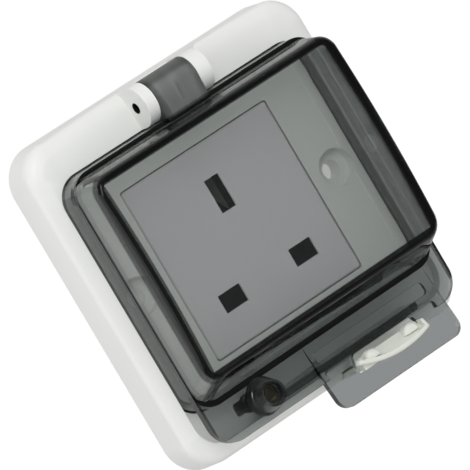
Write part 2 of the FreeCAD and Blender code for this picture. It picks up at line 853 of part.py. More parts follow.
def catch_head():
    low = catch_head_back
    head = head_face(0, low).extrude(vec(0, 0, catch_head_wall))
    head = head.makeFillet(catch_head_corner, upright_edges(head))
    return head.makeChamfer(catch_head_chamfer, edges_at_height(head, catch_head_front))


def catch_dish():
    """The space in the head's front, inside its rim and over its sloping floor."""
    floor = catch_head_front - catch_floor_drop
    height = catch_floor_drop + over
    inside = head_face(catch_rim_wall + over, floor).makeOffset2D(-catch_rim_wall)
    inside = inside.extrude(vec(0, 0, height))
    top, bottom = -catch_head_top, -catch_head_top - catch_head_bow + catch_rim_wall
    sloping = side_profile([(top + over, floor), (top, floor), (bottom, catch_head_front),
                            (bottom, catch_head_front + over), (top + over, floor + height)],
                           catch_middle - catch_head_half_width,
                           catch_middle + catch_head_half_width)
    return inside.common(sloping)


def catch_rib(x):
    """A round rib that stiffens the head and stands a little over its upper side."""
    low = catch_head_front - catch_floor_drop
    high = catch_head_front - catch_rib_drop
    radius = catch_rib_radius
    y = -catch_head_top + catch_rib_rise - radius
    rib = post(x, y, low, high, radius)
    rib = rib.makeChamfer(catch_rib_chamfer, edges_at_height(rib, high))
    return rib.common(block(x - radius, x + radius, y, y + radius, low, high))


def catch_leaf():
    """The springy leaf with its foot, thickened where it carries the head."""
    outside, inside = -catch_leaf_outside, -catch_leaf_outside + catch_leaf_wall
    foot_low = catch_foot_height
    foot_high = catch_foot_height + catch_foot_wall
    lean = catch_leaf_lean
    head_top = -catch_head_top
    floor = catch_head_front - catch_floor_drop
    return side_profile([(outside, foot_low), (outside, plate_edge_height),
                         (outside + lean, flange_height),
                         (outside + lean, catch_head_back + embed),
                         (head_top, catch_head_back + embed), (head_top, floor),
                         (inside + lean, flange_height), (inside, plate_edge_height),
                         (inside, foot_high), (-catch_foot_reach, foot_high),
                         (-catch_foot_reach, foot_low)],
                        catch_middle - catch_leaf_half_width,
                        catch_middle + catch_leaf_half_width)


def lid_catch():
    """The catch: a leaf with a foot behind the plate and a dished head before the tab."""
    half = catch_rib_spacing / 2
    body = catch_leaf().fuse(catch_head()).cut(catch_dish())
    body = body.fuse([catch_rib(catch_middle - half), catch_rib(catch_middle + half)])
    foot_high = catch_foot_height + catch_foot_wall
    holes = []
    for side in (-1, 1):
        x = catch_middle + side * stake_spacing / 2
        holes.append(post(x, stake_y, 0, foot_high + over, stake_radius + stake_clearance))
    return single(body.cut(holes).removeSplitter())


def power_slot(x, margin, low, high):
    """A level power slot's space, widened by a margin."""
    return block(x - power_slot_width / 2 - margin, x + power_slot_width / 2 + margin,
                 power_pin_y - power_slot_height / 2 - margin,
                 power_pin_y + power_slot_height / 2 + margin, low, high)


def earth_slot(margin, low, high):
    """The upright earth slot's space, widened by a margin."""
    return block(-earth_slot_width / 2 - margin, earth_slot_width / 2 + margin,
                 earth_pin_y - earth_slot_height / 2 - margin,
                 earth_pin_y + earth_slot_height / 2 + margin, low, high)


def barb(side):
    """The snap barb on the insert's side, which hooks behind the plate's ledge."""
    inner = side * (insert_skirt_half - embed)
    outer = side * (insert_skirt_half + barb_reach - barb_play)
    high = seat - ledge_wall - barb_play
    outline = [vec(inner, -barb_half_width, high),
               vec(outer, -barb_half_width, high),
               vec(outer, -barb_half_width, high - barb_point),
               vec(inner, -barb_half_width, high - barb_length)]
    return polygon_face(outline).extrude(vec(0, 2 * barb_half_width, 0))


def socket_face():
    half = insert_half
    plate = slab(-half, half, -half, half, seat, face_height, insert_corner)
    plate = plate.makeChamfer(insert_edge_chamfer, edges_at_height(plate, face_height))
    outer = insert_skirt_half
    inner = outer - insert_skirt_wall
    skirt = slab(-outer, outer, -outer, outer, insert_skirt_end, seat, insert_corner)
    skirt = skirt.cut(slab(-inner, inner, -inner, inner, insert_skirt_end - over,
                           seat + over, insert_corner))
    collar_end = seat - slot_collar_depth
    parts = [skirt, barb(-1), barb(1), earth_slot(slot_collar_wall, collar_end, seat)]
    cuts = [earth_slot(0, collar_end - over, face_height + over)]
    for side in (-1, 1):
        x = side * power_pin_offset
        parts.append(power_slot(x, slot_collar_wall, collar_end, seat))
        cuts.append(power_slot(x, 0, collar_end - over, face_height + over))
        parts.append(post(side * base_screw_x, base_screw_y, base_front, seat,
                          base_post_radius))
        cuts.append(post(side * base_screw_x, base_screw_y, base_front - over, seat,
                         base_screw_radius))
    return single(plate.fuse(parts).cut(cuts).removeSplitter())


def shutter():
    """The sliding shutter: a bar over the power slots, an arm and a ramp at the earth slot."""
    low = base_front + shutter_play
    high = low + shutter_wall
    reach = power_pin_offset + power_slot_width / 2 + shutter_overlap
    bottom = power_pin_y - power_slot_height / 2 - shutter_overlap
    top = power_pin_y + power_slot_height / 2 + shutter_overlap
    bar = block(-reach, reach, bottom, top, low, high)
    arm = block(-shutter_arm_half_width, shutter_arm_half_width, top - embed,
                shutter_arm_end, low, high)
    ramp = side_profile([(ramp_foot_y, high), (ramp_foot_y + ramp_crest, high),
                         (ramp_end_y, -ramp_depth), (ramp_foot_y, -ramp_depth)],
                        -ramp_half_width, ramp_half_width)
    arm = arm.cut(block(-plate_side, plate_side, ramp_foot_y + ramp_crest, ramp_end_y,
                        low, high + over))
    lug = block(-spring_radius, spring_radius, shutter_lug_y,
                shutter_lug_y + shutter_lug_wall, spring_height - spring_radius, low)
    return single(join(bar, arm, ramp, lug))


def spring_section(share):
    """The wire's cross-section at a share of the way along the coil."""
    length = shutter_lug_y - spring_seat_y - 2 * spring_wire
    turn = 2 * math.pi * spring_turns * share
    along = spring_seat_y + spring_wire + length * share
    corners = []
    for corner in range(spring_wire_sides):
        angle = 2 * math.pi * corner / spring_wire_sides
        radius = spring_radius - spring_wire + spring_wire * math.cos(angle)
        corners.append(vec(radius * math.cos(turn), along + spring_wire * math.sin(angle),
                           spring_height + radius * math.sin(turn)))
    return corners


def shutter_spring():
    """A coil spring, in short flat facets, that pushes the shutter up over the power slots."""
    steps = spring_turns * spring_facets
    sections = [spring_section(step / steps) for step in range(steps + 1)]
    faces = [polygon_face(sections[0]), polygon_face(sections[-1])]
    for here, ahead in zip(sections, sections[1:]):
        for side in range(spring_wire_sides):
            after = (side + 1) % spring_wire_sides
            faces.append(polygon_face([here[side], here[after], ahead[side]]))
            faces.append(polygon_face([here[after], ahead[after], ahead[side]]))
    coil = Part.makeSolid(Part.makeShell(faces))
    if coil.Volume < 0:
        coil.reverse()
    return single(coil)


def driver_well(x, y, high):
    return post(x, y, base_back - over, high, driver_well_radius)


def wire_window(x, start, end, z):
    """The window in the housing's side through which a wire reaches its terminal."""
    half = wire_bore_radius + wire_window_play
    bottom, top = sorted((start, end))
    return block(x - half, x + half, bottom, top, z - half, z + half)


def power_wells(side):
    """The spaces for one power contact, its terminal, its screw and its wire."""
    half = contact_mouth / 2 + well_play
    wide = power_pin_width / 2 + well_play
    x = side * power_pin_offset
    low = power_well_bottom - power_terminal_height
    contact = block(x - wide, x + wide, power_pin_y - half, power_pin_y + half,
                    power_well_bottom, base_front + over)
    block_well = block(x - terminal_half_width, x + terminal_half_width,
                       power_pin_y - terminal_half_depth, power_pin_y + terminal_half_depth,
                       low, power_well_bottom)
    return [contact, block_well, driver_well(x, power_pin_y, low),
            wire_window(x, power_pin_y, -plate_side, power_well_bottom - wire_bore_offset)]


def earth_wells():
    """The spaces for the earth contact with its tongue, its terminal, screw and wire."""
    half = contact_mouth / 2 + well_play
    reach = earth_slot_height / 2 + well_play
    floor = earth_well_bottom
    high = floor + earth_terminal_height
    contact = block(-half, half, earth_pin_y - reach, earth_pin_y + reach, floor,
                    base_front + over)
    tongue = block(-contact_width / 2, contact_width / 2, earth_pin_y - reach,
                   earth_terminal_y + terminal_half_depth, floor - strip, floor)
    block_well = block(-terminal_half_width, terminal_half_width,
                       earth_terminal_y - terminal_half_depth,
                       earth_terminal_y + terminal_half_depth, floor, high)
    return [contact, tongue, block_well, driver_well(0, earth_terminal_y, floor - strip),
            wire_window(0, earth_terminal_y, plate_side, high - wire_bore_offset)]


def base_screw_well(side):
    x = side * base_screw_x
    head = post(x, base_screw_y, base_back - over, base_screw_seat,
                base_screw_head_radius + base_screw_head_play)
    shank = post(x, base_screw_y, base_back - over, base_front + over,
                 base_screw_radius + base_screw_play)
    return head.fuse(shank)


def shutter_wells():
    """The spaces for the shutter's ramp and for its spring."""
    play = shutter_well_play
    ramp_half = ramp_half_width + play
    ramp_space = block(-ramp_half, ramp_half, ramp_foot_y - shutter_travel - play,
                       ramp_end_y + play, -ramp_depth - play, base_front + over)
    spring_half = spring_radius + spring_well_play
    spring_space = block(-spring_half, spring_half, spring_seat_y,
                         shutter_lug_y + shutter_lug_wall + play,
                         spring_height - spring_half, base_front + over)
    return [ramp_space, spring_space]


def socket_base():
    body = slab(-base_half, base_half, -base_half, base_half, base_back, base_front,
                base_corner)
    wells = power_wells(-1) + power_wells(1) + earth_wells() + shutter_wells()
    wells += [base_screw_well(-1), base_screw_well(1)]
    return single(body.cut(wells))


def contact_profile(bottom, top):
    """One side of a sprung contact, from its web up to its flared mouth."""
    outer = contact_mouth / 2
    pinch = contact_pinch / 2
    neck = bottom + (top - bottom) * contact_pinch_share
    heel = bottom + contact_heel
    return [(0, bottom), (outer, bottom), (outer, heel), (pinch + strip, neck),
            (outer, top), (outer - strip, top), (pinch, neck), (outer - strip, heel),
            (outer - strip, bottom + strip), (0, bottom + strip)]


def mirrored(points):
    return [(-across, z) for across, z in reversed(points)]


def power_contact(side):
    """A contact that grips a power pin above and below."""
    profile = contact_profile(power_well_bottom, power_contact_top)
    outline = [(power_pin_y + across, z) for across, z in profile[:-1] + mirrored(profile)[:-1]]
    x = side * power_pin_offset
    clip = side_profile(outline, x - contact_width / 2, x + contact_width / 2)
    return single(clip)


def earth_contact():
    """A contact that grips the earth pin left and right, with a tongue to its terminal."""
    profile = contact_profile(earth_well_bottom, earth_contact_top)
    outline = profile[:-1] + mirrored(profile)[:-1]
    start = earth_pin_y - contact_width / 2
    points = [vec(across, start, z) for across, z in outline]
    clip = polygon_face(points).extrude(vec(0, contact_width, 0))
    tongue = block(-contact_width / 2, contact_width / 2, start,
                   earth_terminal_y + terminal_half_depth,
                   earth_well_bottom - strip, earth_well_bottom)
    hole = post(0, earth_terminal_y, earth_well_bottom - over, earth_well_bottom + over,
                terminal_screw_radius + tongue_hole_play)
    return single(join(clip, tongue).cut(hole))


def terminal(x, y, low, high, bore_height):
    """A brass terminal block: a wire bore up and down, and a screw hole from behind."""
    body = block(x - terminal_half_width, x + terminal_half_width,
                 y - terminal_half_depth, y + terminal_half_depth, low, high)
    bore = Part.makeCylinder(wire_bore_radius, 4 * terminal_half_depth,
                             vec(x, y - 2 * terminal_half_depth, bore_height), vec(0, 1, 0))
    screw_hole = post(x, y, low - over, bore_height, terminal_screw_radius)
    return single(body.cut([bore, screw_hole]))


def power_terminal(side):
    low = power_well_bottom - power_terminal_height
    return terminal(side * power_pin_offset, power_pin_y, low, power_well_bottom,
                    power_well_bottom - wire_bore_offset)


def earth_terminal():
    high = earth_well_bottom + earth_terminal_height
    return terminal(0, earth_terminal_y, earth_well_bottom, high, high - wire_bore_offset)


def terminal_screw(x, y, seat_height, tip_height):
    """A slotted screw from behind; it is backed off, clear of the wire bore."""
    head_back = seat_height - terminal_screw_head_height
    head = post(x, y, head_back, seat_height, terminal_screw_head_radius)
    shank = post(x, y, seat_height, tip_height, terminal_screw_radius - screw_fit)
    groove = block(x - 2 * terminal_screw_head_radius, x + 2 * terminal_screw_head_radius,
                   y - terminal_screw_slot / 2, y + terminal_screw_slot / 2,
                   head_back - over, head_back + terminal_screw_head_height / 2)
    return single(join(head, shank).cut(groove))


def terminal_screws():
    low = power_well_bottom - power_terminal_height
    tip = power_well_bottom - wire_bore_offset - wire_bore_radius
    earth_tip = earth_well_bottom + earth_terminal_height - wire_bore_offset - wire_bore_radius
    screws = [terminal_screw(side * power_pin_offset, power_pin_y, low, tip)
              for side in (-1, 1)]
    screws.append(terminal_screw(0, earth_terminal_y, earth_well_bottom - strip, earth_tip))
    return Part.makeCompound(screws)


def base_screw(x, y):
    head_back = base_screw_seat - base_screw_head_height
    head = post(x, y, head_back, base_screw_seat, base_screw_head_radius)
    shank = post(x, y, base_screw_seat, seat - base_screw_end_wall,
                 base_screw_radius - screw_fit)
    arm, half = cross_half_length, cross_half_width
    low, high = head_back - over, head_back + base_screw_head_height / 2
    level = block(x - arm, x + arm, y - half, y + half, low, high)
    upright = block(x - half, x + half, y - arm, y + arm, low, high)
    return single(join(head, shank).cut([level, upright]))


def base_screws():
    return Part.makeCompound([base_screw(side * base_screw_x, base_screw_y)
                              for side in (-1, 1)])


def save(node, shape):
    """Stands the piece up against the wall (y into the wall, z up) and writes it."""
    upright = shape.copy()
    upright.rotate(vec(0, 0, 0), vec(1, 0, 0), 90)
    upright.exportStep("parts/" + node + ".step")
    print(node, "solids", len(shape.Solids), "volume %.0f" % shape.Volume,
          "valid", shape.isValid())


os.makedirs("parts", exist_ok=True)
save("front_frame", front_frame())
save("lid", lid())
save("lid_seal", lid_seal())
save("wall_seal", wall_seal())
save("hinge_pin", hinge_pin())
save("lid_catch", lid_catch())
save("lock_core", lock_core())
save("lock_pin", lock_pin())
save("lock_clip", lock_clip())
save("lock_seal", lock_seal())
save("socket_face", socket_face())
save("socket_base", socket_base())
save("shutter", shutter())
save("shutter_spring", shutter_spring())
save("earth_contact", earth_contact())
save("live_contact", power_contact(1))
save("neutral_contact", power_contact(-1))
save("earth_terminal", earth_terminal())
save("live_terminal", power_terminal(1))
save("neutral_terminal", power_terminal(-1))
save("terminal_screws", terminal_screws())
save("base_screws", base_screws())
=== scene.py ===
"""Outdoor weatherproof socket: a moulded wall plate with a socket insert under a smoked lid."""
import math

import bpy
import numpy as np
from mathutils import Matrix, Vector


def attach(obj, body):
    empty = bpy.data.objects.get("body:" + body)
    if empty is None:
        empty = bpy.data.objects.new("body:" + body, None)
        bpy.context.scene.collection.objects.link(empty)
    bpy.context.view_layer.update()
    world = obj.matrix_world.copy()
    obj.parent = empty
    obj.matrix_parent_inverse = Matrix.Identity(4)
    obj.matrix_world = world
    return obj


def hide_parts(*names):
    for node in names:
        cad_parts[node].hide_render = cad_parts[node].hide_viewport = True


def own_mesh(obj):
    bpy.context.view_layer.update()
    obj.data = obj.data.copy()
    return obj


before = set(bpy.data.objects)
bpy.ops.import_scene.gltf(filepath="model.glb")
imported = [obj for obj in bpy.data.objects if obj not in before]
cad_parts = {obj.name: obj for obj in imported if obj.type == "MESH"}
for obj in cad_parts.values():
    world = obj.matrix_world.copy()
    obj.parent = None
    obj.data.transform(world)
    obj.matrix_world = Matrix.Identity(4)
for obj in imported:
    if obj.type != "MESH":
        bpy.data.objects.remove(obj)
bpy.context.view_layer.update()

# Wall plate. One white thermoset moulding with the hinge knuckles and the fixing holes in it.
# It is compression moulded in a polished tool, so its faces are smooth with a faint orange
# peel, and every outer edge is softened. Two screws hold it on the wall box.

MM = 0.001
MIX_A, MIX_B, MIX_OUT = 6, 7, 2  # a Mix node's sockets when it mixes colours


def linear(srgb_hex):
    """Linear RGBA of an sRGB hex colour: each channel goes through the standard sRGB curve."""
    channels = [int(srgb_hex[i:i + 2], 16) / 255 for i in (1, 3, 5)]
    straight = [c / 12.92 if c <= 0.04045 else ((c + 0.055) / 1.055) ** 2.4 for c in channels]
    return (*straight, 1.0)


def add(owner, kind, settings=None, links=None):
    """Adds a node: settings go to its properties or sockets, links to its input sockets."""
    node = owner.node_tree.nodes.new(kind)
    for name, value in (settings or {}).items():
        if isinstance(name, str) and name not in node.inputs:
            setattr(node, name, value)
        else:
            node.inputs[name].default_value = value
    for name, source in (links or {}).items():
        owner.node_tree.links.new(source, node.inputs[name])
    return node


def blank(name):
    """A new material with an empty node tree."""
    material = bpy.data.materials.new(name)
    material.use_nodes = True
    material.node_tree.nodes.clear()
    return material


def moulding(name, colour, roughness, peel_mm, peel_height_mm, drift=0.04):
    """A moulded plastic: a peel of a real size as bump, with a slow drift of tone and gloss."""
    material = blank(name)
    place = add(material, "ShaderNodeTexCoord").outputs["Object"]
    flow_mm, gloss_drift = 18, 0.05
    peel = add(material, "ShaderNodeTexNoise",
               {"Scale": 1 / (peel_mm * MM), "Detail": 3.0, "Roughness": 0.55},
               {"Vector": place})
    flow = add(material, "ShaderNodeTexNoise", {"Scale": 1 / (flow_mm * MM), "Detail": 2.0},
               {"Vector": place})
    value = add(material, "ShaderNodeMapRange", {"To Min": 1 - drift, "To Max": 1.0},
                {"Value": flow.outputs["Fac"]})
    tone = add(material, "ShaderNodeHueSaturation", {"Color": linear(colour)},
               {"Value": value.outputs["Result"]})
    gloss = add(material, "ShaderNodeMapRange",
                {"To Min": roughness - gloss_drift, "To Max": roughness + gloss_drift},
                {"Value": flow.outputs["Fac"]})
    bump = add(material, "ShaderNodeBump", {"Distance": peel_height_mm * MM},
               {"Height": peel.outputs["Fac"]})
    shader = add(material, "ShaderNodeBsdfPrincipled", {"IOR": 1.52},
                 {"Base Color": tone.outputs["Color"], "Roughness": gloss.outputs["Result"],
                  "Normal": bump.outputs["Normal"]})
    add(material, "ShaderNodeOutputMaterial", {}, {"Surface": shader.outputs["BSDF"]})
    return material


def dress(material, *nodes):
    """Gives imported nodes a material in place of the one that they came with."""
    for node in nodes:
        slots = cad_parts[node].data.materials
        slots.clear()
        slots.append(material)


def softened(node, body, material, sharp_deg=50):
    """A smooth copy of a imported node: its loose triangles are merged at their corners, an edge
    that turns by more than sharp_deg stays sharp, and normals are weighted by face area, so
    that the narrow chamfers read as the small rounds that the mould leaves."""
    grid_step = 1e-6
    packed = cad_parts[node].data
    points = np.empty(len(packed.vertices) * 3)
    packed.vertices.foreach_get("co", points)
    corners = np.empty(len(packed.loops), int)
    packed.loops.foreach_get("vertex_index", corners)
    grid, where = np.unique(np.round(points.reshape(-1, 3) / grid_step), axis=0,
                            return_inverse=True)
    faces = where.reshape(-1)[corners].reshape(-1, 3)
    whole = ((faces[:, 0] != faces[:, 1]) & (faces[:, 1] != faces[:, 2])
             & (faces[:, 2] != faces[:, 0]))
    mesh = bpy.data.meshes.new(node + "_moulding")
    mesh.from_pydata((grid * grid_step).tolist(), [], faces[whole].tolist())
    mesh.polygons.foreach_set("use_smooth", np.ones(len(mesh.polygons), bool))
    mesh.set_sharp_from_angle(angle=math.radians(sharp_deg))
    mesh.materials.append(material)
    piece = bpy.data.objects.new(node + "_moulding", mesh)
    bpy.context.scene.collection.objects.link(piece)
    weighted = piece.modifiers.new("weighted", "WEIGHTED_NORMAL")
    weighted.keep_sharp = True
    weighted.weight = 80
    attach(piece, body)
    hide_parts(node)
    return piece


def ending_of(material, kind):
    """The one node of that kind in a material."""
    return next(n for n in material.node_tree.nodes if n.type == kind)


HINGE_Y, HINGE_Z = -13.15 * MM, 37.7 * MM
PIN_HOLE_RADIUS, HOLE_SHADE_EDGE = 1.45 * MM, 0.1 * MM

thermoset = moulding("thermoset_compression_moulded", "#edeeeb", 0.4, 0.9, 0.004)
# The pin's hole is painted near black, a painted shade, so that it reads as a deep hole.
centred = add(thermoset, "ShaderNodeVectorMath",
              {"operation": "SUBTRACT", 1: (0, HINGE_Y, HINGE_Z)},
              {0: add(thermoset, "ShaderNodeTexCoord").outputs["Object"]})
across = add(thermoset, "ShaderNodeVectorMath", {"operation": "MULTIPLY", 1: (0, 1, 1)},
             {0: centred.outputs["Vector"]})
away = add(thermoset, "ShaderNodeVectorMath", {"operation": "LENGTH"},
           {0: across.outputs["Vector"]})
painted_hole_shade = add(thermoset, "ShaderNodeMapRange",
              {"From Min": PIN_HOLE_RADIUS, "From Max": PIN_HOLE_RADIUS - HOLE_SHADE_EDGE},
              {"Value": away.outputs["Value"]})
plain = ending_of(thermoset, "HUE_SAT")
hole_shade_paint = add(thermoset, "ShaderNodeMix", {"data_type": "RGBA", MIX_B: linear("#141210")},
             {0: painted_hole_shade.outputs["Result"], MIX_A: plain.outputs["Color"]})
thermoset.node_tree.links.new(hole_shade_paint.outputs[MIX_OUT],
                              ending_of(thermoset, "BSDF_PRINCIPLED").inputs["Base Color"])
softened("front_frame", "frame", thermoset)

# Hinge pin. A drawn steel rod, blued so that it doesn't rust, pressed through the knuckles
# and the lid's barrel. Only its dark end shows, at the bottom of the left knuckle's hole.

DRAWN_LINES = (40, 900, 900)  # per metre: 25 mm long and 1.1 mm apart

blued = blank("steel_drawn_blued")
along = add(blued, "ShaderNodeMapping", {"Scale": DRAWN_LINES},
            {"Vector": add(blued, "ShaderNodeTexCoord").outputs["Object"]})
drawn = add(blued, "ShaderNodeTexNoise", {"Scale": 1.0, "Detail": 2.0},
            {"Vector": along.outputs["Vector"]})
rub = add(blued, "ShaderNodeMapRange", {"To Min": 0.3, "To Max": 0.5},
          {"Value": drawn.outputs["Fac"]})
shader = add(blued, "ShaderNodeBsdfPrincipled",
             {"Base Color": linear("#2b2722"), "Metallic": 1.0},
             {"Roughness": rub.outputs["Result"]})
add(blued, "ShaderNodeOutputMaterial", {}, {"Surface": shader.outputs["BSDF"]})
dress(blued, "hinge_pin")

# Seals. The ring under the lid's skirt, the ring behind the plate and the ring round the
# lock's shaft are black rubber, moulded and left matt, with the fine grain of the mould.

rubber = moulding("rubber_moulded_matt", "#17181a", 0.62, 0.25, 0.01, 0.15)
dress(rubber, "lid_seal", "wall_seal", "lock_seal")

# Socket insert. A glossy, very slightly lilac white face. Deeper than its thin front skin the
# insert is painted near black: painted shade that lines the three pin slots and makes the dark
# joint round the face. It snaps into the plate from behind.

FACE_FRONT = -7.4 * MM
WHITE_SKIN = 0.45 * MM

insert = moulding("polycarbonate_injection_moulded_lilac_white", "#e9e6ea", 0.3, 1.4, 0.003)
place = add(insert, "ShaderNodeTexCoord").outputs["Object"]
depth = add(insert, "ShaderNodeSeparateXYZ", {}, {"Vector": place}).outputs["Y"]
# Below the face's white skin the colour is painted near black, a painted shade in the slots and
# the joint.
in_slot_shade = add(insert, "ShaderNodeMath",
             {"operation": "GREATER_THAN", 1: FACE_FRONT + WHITE_SKIN}, {0: depth})
face = ending_of(insert, "BSDF_PRINCIPLED")
painted_slot_shade = add(insert, "ShaderNodeBsdfPrincipled",
              {"Base Color": linear("#0a0a0c"), "Roughness": 0.55, "IOR": 1.52,
               "Specular IOR Level": 0.2})
face_and_slot_shade = add(insert, "ShaderNodeMixShader", {}, {"Fac": in_slot_shade.outputs["Value"],
                                               1: face.outputs["BSDF"],
                                               2: painted_slot_shade.outputs["BSDF"]})
insert.node_tree.links.new(face_and_slot_shade.outputs["Shader"],
                           ending_of(insert, "OUTPUT_MATERIAL").inputs["Surface"])
dress(insert, "socket_face")

# Insert's housing. A pale grey moulding behind the face, open at the back for the terminal
# screws and at its sides for the wires. Its finish is matt, straight from a spark-eroded tool.

dress(moulding("polyamide_injection_moulded_grey", "#c9c9c4", 0.55, 0.4, 0.012),
      "socket_base")

# Shutter. A sliding bar of black nylon behind the pin slots, moulded with a matt finish.

nylon = moulding("nylon_injection_moulded_black", "#050506", 0.7, 0.3, 0.006, 0.1)
ending_of(nylon, "BSDF_PRINCIPLED").inputs["Specular IOR Level"].default_value = 0.15
dress(nylon, "shutter")


# Contacts and terminals. The contacts are rolled brass strip, folded, with the rolling lines
# along it; the terminals are cut from drawn brass bar, a little duller where the tool ran.

def worked_metal(name, colour, roughness, line_mm, run_mm):
    """A worked metal: lines of a real spacing, long the way that the metal was drawn (z)."""
    material = blank(name)
    place = add(material, "ShaderNodeTexCoord").outputs["Object"]
    stretched = add(material, "ShaderNodeMapping",
                    {"Scale": (1 / (line_mm * MM), 1 / (line_mm * MM), 1 / (run_mm * MM))},
                    {"Vector": place})
    lines = add(material, "ShaderNodeTexNoise", {"Scale": 1.0, "Detail": 3.0},
                {"Vector": stretched.outputs["Vector"]})
    gloss = add(material, "ShaderNodeMapRange",
                {"To Min": roughness - 0.1, "To Max": roughness + 0.1},
                {"Value": lines.outputs["Fac"]})
    value = add(material, "ShaderNodeMapRange", {"To Min": 0.86, "To Max": 1.0},
                {"Value": lines.outputs["Fac"]})
    tone = add(material, "ShaderNodeHueSaturation", {"Color": linear(colour)},
               {"Value": value.outputs["Result"]})
    shader = add(material, "ShaderNodeBsdfPrincipled", {"Metallic": 1.0},
                 {"Base Color": tone.outputs["Color"], "Roughness": gloss.outputs["Result"]})
    add(material, "ShaderNodeOutputMaterial", {}, {"Surface": shader.outputs["BSDF"]})
    return material


dress(worked_metal("brass_rolled_strip", "#cfae62", 0.3, 0.12, 6),
      "earth_contact", "live_contact", "neutral_contact")
dress(worked_metal("brass_drawn_bar", "#c6a257", 0.38, 0.2, 9),
      "earth_terminal", "live_terminal", "neutral_terminal")

# Screws, shutter spring, and the lock's pin and clip. Steel with a thin bright zinc plating,
# which is slightly blue; the drawn wire of the spring is left bare and is a little darker.

dress(worked_metal("steel_zinc_plated", "#c3c6c9", 0.32, 0.1, 1.5),
      "terminal_screws", "base_screws", "lock_pin", "lock_clip")

wire = worked_metal("steel_drawn_wire", "#9b9b9d", 0.3, 0.05, 3)
spring = softened("shutter_spring", "frame", wire)
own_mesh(spring)

# Lid. Smoke-tinted polycarbonate in one piece: a crowned window, a flange with a skirt, the
# lock's boss, the hinge barrel and the pull tab. The tool is polished for the window, and the
# barrel and web are left with the marks of the tool's sliding cores, so they look satin.

smoke = blank("polycarbonate_injection_moulded_smoke")
place = add(smoke, "ShaderNodeTexCoord").outputs["Object"]
axes = add(smoke, "ShaderNodeSeparateXYZ", {}, {"Vector": place})

# Regions of the lid: the axis, and the places in mm where each starts and where it is full.
region = {}
for name, axis, start, full in (
        ("barrel_and_web", "Z", 31.6, 32.8),
        ("front_of_boss", "Y", -16.7, -17.0),
        ("flange", "Y", -17.6, -16.9),
        ("below_window", "Z", -28.2, -28.9),
        ("window_walls", "Y", -17.8, -18.6),
        ("right_side", "X", 34.0, 34.8),
        ("front_of_window", "Y", -23.2, -24.0),
        ("up_the_skirt", "Y", -8.0, -14.0)):
    region[name] = add(smoke, "ShaderNodeMapRange",
                       {"From Min": start * MM, "From Max": full * MM},
                       {"Value": axes.outputs[axis]}).outputs["Result"]

LOCK_X, LOCK_Z = -21.8 * MM, -34.2 * MM
BOSS_OUTSIDE, BOSS_INSIDE = 7.0 * MM, 6.0 * MM
from_lock = add(smoke, "ShaderNodeVectorMath",
                {"operation": "SUBTRACT", 1: (LOCK_X, 0, LOCK_Z)}, {0: place})
on_face = add(smoke, "ShaderNodeVectorMath", {"operation": "MULTIPLY", 1: (1, 0, 1)},
              {0: from_lock.outputs["Vector"]})
round_lock = add(smoke, "ShaderNodeVectorMath", {"operation": "LENGTH"},
                 {0: on_face.outputs["Vector"]})
in_ring = add(smoke, "ShaderNodeMapRange", {"From Min": BOSS_OUTSIDE, "From Max": BOSS_INSIDE},
              {"Value": round_lock.outputs["Value"]})
region["boss"] = add(smoke, "ShaderNodeMath", {"operation": "MULTIPLY"},
                     {0: in_ring.outputs["Result"],
                      1: region["front_of_boss"]}).outputs["Value"]

# The barrel and web are satin, and the boss half as much. The cores leave streaks in the gloss,
# fine ribs across the barrel and a mottle. The barrel is made clearer at its two ends, next to
# the knuckles, so that they read darker: painted shade.
BOSS_SHARE = 0.5
WINDOW_ROUGHNESS = 0.03
STREAKS = (1600, 60, 60)  # per metre: 0.6 mm apart and 17 mm long
MOTTLE_ACROSS, MOTTLE_LONG = 0.7 * MM, 5 * MM
RIB_PITCH, RIB_SHARE = 0.62 * MM, 0.4
WAVE_PERIOD = math.pi / 10  # of a wave texture whose scale is one
BARREL_MIDDLE = -0.8 * MM
CLEAR_FROM, CLEAR_TO, CLEAR_ENDS = 4.4 * MM, 6.4 * MM, 0.97

half_ring = add(smoke, "ShaderNodeMath", {"operation": "MULTIPLY", 1: BOSS_SHARE},
                {0: region["boss"]})
cores = add(smoke, "ShaderNodeMath", {"operation": "MAXIMUM"},
            {0: region["barrel_and_web"], 1: half_ring.outputs["Value"]})
streaks = add(smoke, "ShaderNodeTexNoise", {"Scale": 1.0, "Detail": 3.0},
              {"Vector": add(smoke, "ShaderNodeMapping", {"Scale": STREAKS},
                             {"Vector": place}).outputs["Vector"]})
streaked = add(smoke, "ShaderNodeMapRange", {"To Min": 0.28, "To Max": 0.5},
               {"Value": streaks.outputs["Fac"]})
gloss = add(smoke, "ShaderNodeMapRange", {"To Min": WINDOW_ROUGHNESS},
            {"Value": cores.outputs["Value"], "To Max": streaked.outputs["Result"]})
ribbed = add(smoke, "ShaderNodeMapping",
             {"Scale": (1 / MOTTLE_ACROSS, 1 / MOTTLE_LONG, 1 / MOTTLE_LONG)},
             {"Vector": place})
mottle = add(smoke, "ShaderNodeTexNoise", {"Scale": 1.0, "Detail": 2.0},
             {"Vector": ribbed.outputs["Vector"]})
ribs = add(smoke, "ShaderNodeTexWave",
           {"Scale": WAVE_PERIOD / RIB_PITCH, "Distortion": 1.2, "Detail": 1.0},
           {"Vector": place})
worn = add(smoke, "ShaderNodeMix", {"Factor": RIB_SHARE},
           {"A": mottle.outputs["Fac"], "B": ribs.outputs["Fac"]})
milky = add(smoke, "ShaderNodeMapRange",
            {"From Min": 0.25, "From Max": 0.75, "To Min": 0.97, "To Max": 0.79},
            {"Value": worn.outputs["Result"]})
from_middle = add(smoke, "ShaderNodeMath", {"operation": "SUBTRACT", 1: BARREL_MIDDLE},
                  {0: axes.outputs["X"]})
aside = add(smoke, "ShaderNodeMath", {"operation": "ABSOLUTE"},
            {0: from_middle.outputs["Value"]})
painted_dark_ends = add(smoke, "ShaderNodeMapRange",
           {"From Min": CLEAR_FROM, "From Max": CLEAR_TO, "To Max": CLEAR_ENDS},
           {"Value": aside.outputs["Value"], "To Min": milky.outputs["Result"]})
passing = add(smoke, "ShaderNodeMapRange", {"To Min": 1.0},
              {"Value": cores.outputs["Value"], "To Max": painted_dark_ends.outputs["Result"]})

